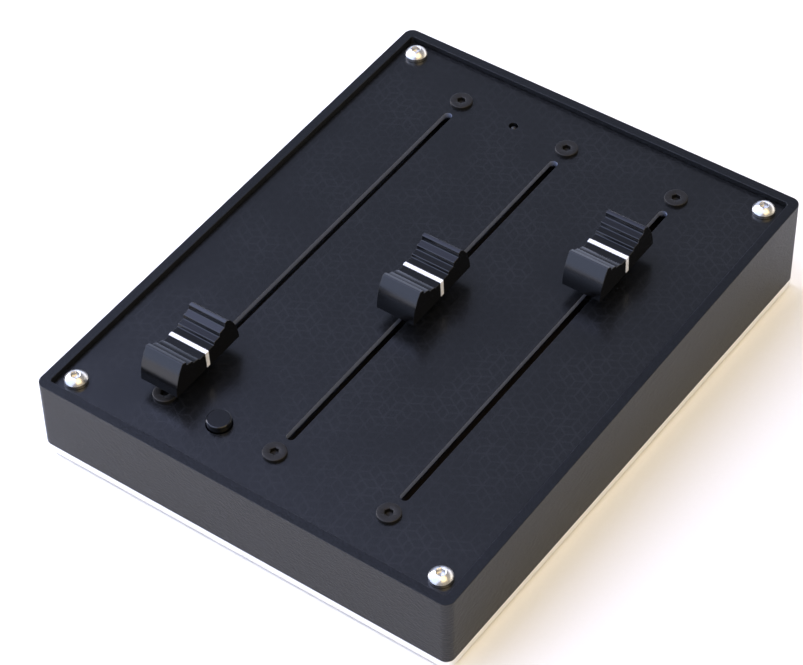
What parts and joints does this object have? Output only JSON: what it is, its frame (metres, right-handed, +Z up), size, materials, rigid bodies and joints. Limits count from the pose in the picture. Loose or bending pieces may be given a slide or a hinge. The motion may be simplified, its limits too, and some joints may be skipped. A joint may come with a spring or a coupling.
{
  "type": "fader controller",
  "caption": "Wedge-shaped desktop fader controller: recessed black panel in a rimmed case, long slide faders with stepped caps and white index lines, a push button and an indicator lamp.",
  "frame": {"origin": "centre of the footprint, on the surface that the feet stand on", "axes": "+X to the right, +Y to the rear along the faders, +Z up"},
  "size_m": [0.1174, 0.15, 0.0373],
  "materials": {
    "black_printed_plastic": "fine matt texture",
    "satin_aluminium": "satin, sawn edge",
    "black_steel": "black oxide",
    "rubber": "moulded",
    "brass": "knurled",
    "black_panel": "satin black lacquer over laminate",
    "stainless_steel": "turned",
    "green_board": "solder lacquer",
    "chip_black": "moulded",
    "tinned_metal": "tin plate",
    "chip_ceramic": "fired ceramic",
    "smoked_lens": "moulded clear, smoked",
    "button_plastic": "moulded satin",
    "zinc_steel": "zinc plated sheet",
    "brown_laminate": "pressed laminate",
    "polished_steel": "ground and polished",
    "black_nylon": "moulded",
    "bronze": "sprung sheet",
    "cap_plastic": "moulded satin",
    "white_line": "inlaid white plastic"
  },
  "bodies": {
    "case": {"case_body": "black_printed_plastic", "base_plate": "satin_aluminium", "base_screws": "black_steel", "rubber_feet": "rubber", "panel_inserts": "brass", "base_inserts": "brass", "top_panel": "black_panel", "panel_screws": "stainless_steel", "fader_screws": "black_steel", "control_board": "green_board", "controller_chip": "chip_black", "crystal": "tinned_metal", "chip_capacitors": "chip_ceramic", "chip_resistors": "chip_black", "usb_shell": "tinned_metal", "usb_tongue": "chip_black", "switch_body": "chip_black", "switch_cover": "tinned_metal", "switch_legs": "tinned_metal", "led_lens": "smoked_lens", "led_leads": "tinned_metal", "led_spacer": "chip_black", "fader_1_frame": "zinc_steel", "fader_1_track_board": "brown_laminate", "fader_1_guide_rods": "polished_steel", "fader_1_terminals": "tinned_metal", "fader_2_frame": "zinc_steel", "fader_2_track_board": "brown_laminate", "fader_2_guide_rods": "polished_steel", "fader_2_terminals": "tinned_metal", "fader_3_frame": "zinc_steel", "fader_3_track_board": "brown_laminate", "fader_3_guide_rods": "polished_steel", "fader_3_terminals": "tinned_metal"},
    "fader_1": {"fader_1_carriage": "black_nylon", "fader_1_lever": "zinc_steel", "fader_1_wiper": "bronze", "fader_1_cap": "cap_plastic", "fader_1_cap_line": "white_line"},
    "fader_2": {"fader_2_carriage": "black_nylon", "fader_2_lever": "zinc_steel", "fader_2_wiper": "bronze", "fader_2_cap": "cap_plastic", "fader_2_cap_line": "white_line"},
    "fader_3": {"fader_3_carriage": "black_nylon", "fader_3_lever": "zinc_steel", "fader_3_wiper": "bronze", "fader_3_cap": "cap_plastic", "fader_3_cap_line": "white_line"},
    "button": {"button_cap": "button_plastic", "switch_plunger": "chip_black", "switch_dome": "tinned_metal"}
  },
  "joints": [
    {"name": "fader_1_slide", "type": "slide", "parent": "case", "child": "fader_1", "axis": [0, 0.9994, 0.0349], "range_m": [0, 0.1]},
    {"name": "fader_2_slide", "type": "slide", "parent": "case", "child": "fader_2", "axis": [0, 0.9994, 0.0349], "range_m": [-0.0486, 0.0514]},
    {"name": "fader_3_slide", "type": "slide", "parent": "case", "child": "fader_3", "axis": [0, 0.9994, 0.0349], "range_m": [-0.0792, 0.0208]},
    {"name": "button_press", "type": "slide", "parent": "case", "child": "button", "axis": [0, -0.0349, 0.9994], "range_m": [-0.0005, 0], "stiffness_N_per_m": 1600}
  ]
}
